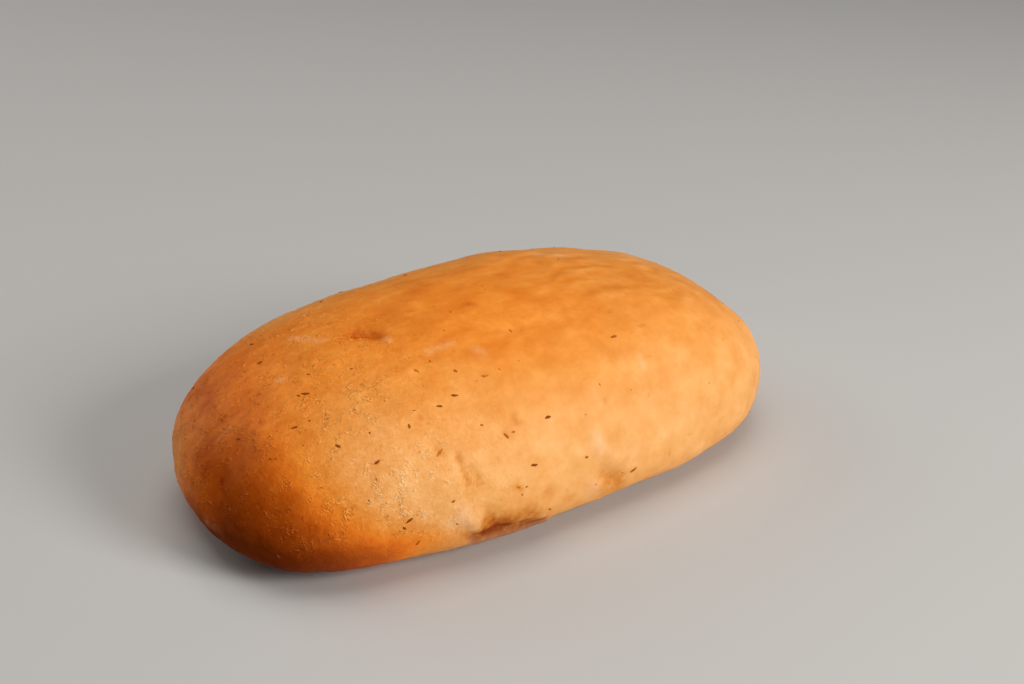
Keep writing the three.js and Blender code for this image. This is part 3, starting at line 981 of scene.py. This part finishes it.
def crust_material():
    material, net, shader, place = new_material("baked_crust")
    net.feed(shader.inputs["Base Color"], crust_colour(net, place))
    net.feed(shader.inputs["Roughness"], net.noise(place, 3 * MM) * 0.05 + 0.52)
    gloss = shader.inputs["Specular IOR Level"]
    # The plain gloss stands wherever the link to the zone is not kept.
    gloss.default_value = CRUST_GLOSS
    # Less gloss where the low end is darkened with painted shade.
    dark = zone(net, attribute(net, "heading"), LOW_END_SHADE)
    net.feed(gloss, dark * -LOW_END_SHADE_GLOSS_LOSS + CRUST_GLOSS)
    grain, grainy, crinkles = crust_grain(net, place)
    coarse = net.noise(place, 1.5 * MM, 3, 0.6) * grainy
    height = grain * 0.045 + coarse * 0.055 + crinkles * 0.15
    height = height + net.noise(place, 2.4 * MM, 2) * 0.04
    bump = net.node("ShaderNodeBump", {"Height": height * MM, "Distance": 1.0, "Strength": 1.0})
    net.feed(shader.inputs["Normal"], bump.outputs[0])
    return material


def blister_material():
    material, net, shader, place = new_material("blistered_crust")
    # The flakes are painted paler than the crust about them: partly their own dry skin, partly painted
    # highlight.
    lift = net.step(net.noise(place, 1.5 * MM), -1, 1) * 0.35 + 0.1
    net.feed(shader.inputs["Base Color"], crust_colour(net, place, lift))
    net.feed(shader.inputs["Roughness"], net.noise(place, 2 * MM) * 0.05 + 0.45)
    shader.inputs["Specular IOR Level"].default_value = 0.15
    return material


def herb_material():
    material, net, shader, place = new_material("dried_herb")
    tone = Value(net, net.node("ShaderNodeAttribute", attribute_name="tone").outputs["Fac"])
    shade = tone + net.noise(place, 0.8 * MM) * 0.15
    net.feed(shader.inputs["Base Color"], ramp(net, shade, HERB_TONES))
    net.feed(shader.inputs["Roughness"], net.noise(place, 0.5 * MM) * 0.05 + 0.7)
    shader.inputs["Specular IOR Level"].default_value = 0.1
    return material


def floor_material():
    material, _, shader, _ = new_material("pale_floor")
    shader.inputs["Base Color"].default_value = (*FLOOR_COLOUR, 1)
    shader.inputs["Roughness"].default_value = 0.85
    return material


# ---------------------------------------------------------------------------------------------
# The pieces.
# ---------------------------------------------------------------------------------------------


def make_pieces():
    lines = mark_lines()
    blank = bpy.data.meshes.new("blank")
    crust = grown("crust", blank, crust_tree(), Marks=lines, Material=crust_material())
    flecks = grown("herb_flecks", fleck_points(), fleck_tree(), Crust=crust, Material=herb_material())
    blisters = grown("blisters", blank, blister_tree(), Crust=crust, Material=blister_material())
    bpy.data.objects.remove(lines)
    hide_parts("roll")
    for piece in (crust, flecks, blisters):
        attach(piece, "root")


# ---------------------------------------------------------------------------------------------
# Floor, light and camera.
# ---------------------------------------------------------------------------------------------

IMAGE_SIZE = (1024, 684)
LENS = 50
SENSOR = 36
CAMERA_AZIMUTH = -33.32
CAMERA_ELEVATION = 29.47
CAMERA_DISTANCE = 372.3 * MM
BASE_CENTRE_PX = (480.6, 450.0)  # where the middle of the foot shows

FLOOR_SIZE = 8
ROOM_LIGHT = 0.1
# The soft lights: azimuth and elevation in degrees, distance and size in metres, power in watts.
LIGHTS = {
    "key_light": (21, 27, 1.0, 0.35, 7.6),
    "top_light": (0, 89, 1.2, 1.0, 6.3),
    "rim_light": (-150, 28, 1.2, 0.8, 3.2),
}


def out_from(azimuth, elevation):
    """The way out from the roll at an azimuth, 0 at its front side, and an elevation."""
    turn, climb = math.radians(azimuth), math.radians(elevation)
    level = math.cos(climb)
    return Vector((math.sin(turn) * level, -math.cos(turn) * level, math.sin(climb)))


def make_camera():
    """The camera at the photo's angle, turned so that the middle of the foot is at its own pixel."""
    back = out_from(CAMERA_AZIMUTH, CAMERA_ELEVATION)
    turn = math.radians(CAMERA_AZIMUTH)
    right = Vector((math.cos(turn), math.sin(turn), 0))
    aimed = Matrix((right, back.cross(right), back)).transposed().to_4x4()
    focal = LENS / SENSOR * IMAGE_SIZE[0]
    aside = math.atan((BASE_CENTRE_PX[0] - IMAGE_SIZE[0] / 2) / focal)
    below = math.atan((BASE_CENTRE_PX[1] - IMAGE_SIZE[1] / 2) / focal)
    camera = bpy.data.objects.new("camera", bpy.data.cameras.new("camera"))
    camera.data.lens = LENS
    camera.data.sensor_width = SENSOR
    camera.data.clip_start = 0.01
    placed = Matrix.Translation(back * CAMERA_DISTANCE) @ aimed
    camera.matrix_world = placed @ Matrix.Rotation(aside, 4, "Y") @ Matrix.Rotation(below, 4, "X")
    bpy.context.scene.collection.objects.link(camera)
    bpy.context.scene.camera = camera


def softbox(name, azimuth, elevation, distance, size, power):
    """A square light that faces the roll."""
    out = out_from(azimuth, elevation)
    light = bpy.data.lights.new(name, "AREA")
    light.size = size
    light.energy = power
    lamp = bpy.data.objects.new(name, light)
    lamp.location = out * distance
    lamp.rotation_euler = out.to_track_quat("Z", "Y").to_euler()
    bpy.context.scene.collection.objects.link(lamp)


def make_studio():
    bpy.ops.mesh.primitive_plane_add(size=FLOOR_SIZE)
    floor = bpy.context.object
    floor.name = "floor"
    floor.data.materials.append(floor_material())
    for name, numbers in LIGHTS.items():
        softbox(name, *numbers)
    world = bpy.data.worlds.new("room")
    world.use_nodes = True
    background = world.node_tree.nodes["Background"]
    background.inputs["Color"].default_value = (1, 1, 1, 1)
    background.inputs["Strength"].default_value = ROOM_LIGHT
    bpy.context.scene.world = world
    bpy.context.scene.view_settings.view_transform = "Standard"


make_camera()
make_studio()
make_pieces()
